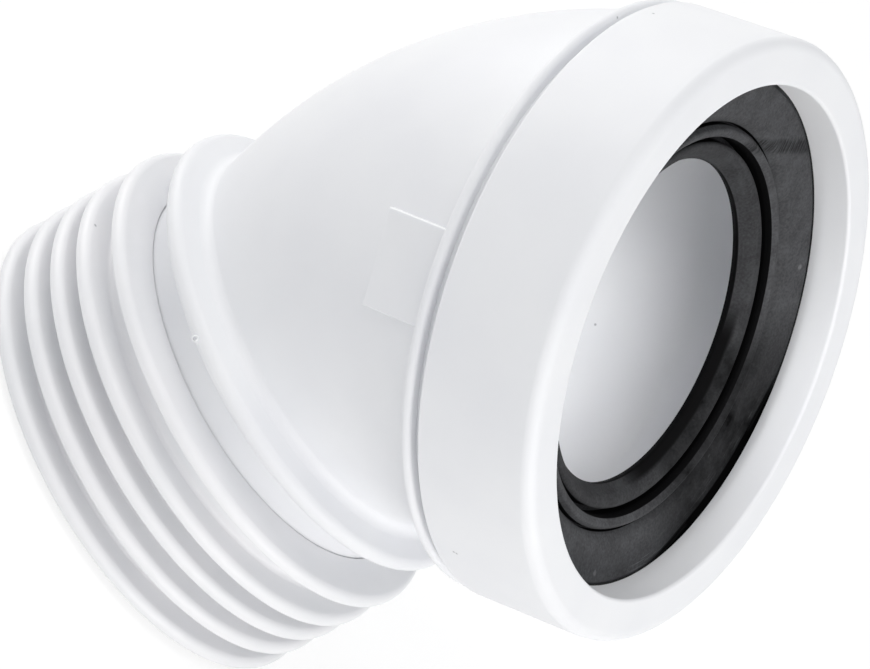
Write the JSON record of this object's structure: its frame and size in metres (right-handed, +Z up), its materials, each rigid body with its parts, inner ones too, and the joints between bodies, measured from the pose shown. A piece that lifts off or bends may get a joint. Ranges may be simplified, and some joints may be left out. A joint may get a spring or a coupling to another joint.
{
  "type": "toilet pan connector",
  "caption": "Angled white plastic WC pan connector: collared socket with a black rubber lip seal, short domed bend and a soft finned outlet that pushes into a soil pipe.",
  "frame": {"origin": "Centre of the outlet end, on the surface that the connector stands on.", "axes": "+Z up along the outlet's axis, away from the soil pipe. The mouth leans towards +X at 45 degrees. The marking pad faces -Y."},
  "size_m": [0.1425, 0.1336, 0.179],
  "materials": {
    "white_pp": "moulded white polypropylene, satin",
    "black_rubber": "moulded black rubber, dull with faint dust",
    "white_elastomer": "soft white elastomer, satin"
  },
  "bodies": {
    "root": {"elbow_body": "white_pp", "socket_collar": "white_pp", "inlet_seal": "black_rubber", "outlet_fin_sleeve": "white_elastomer"}
  },
  "joints": []
}
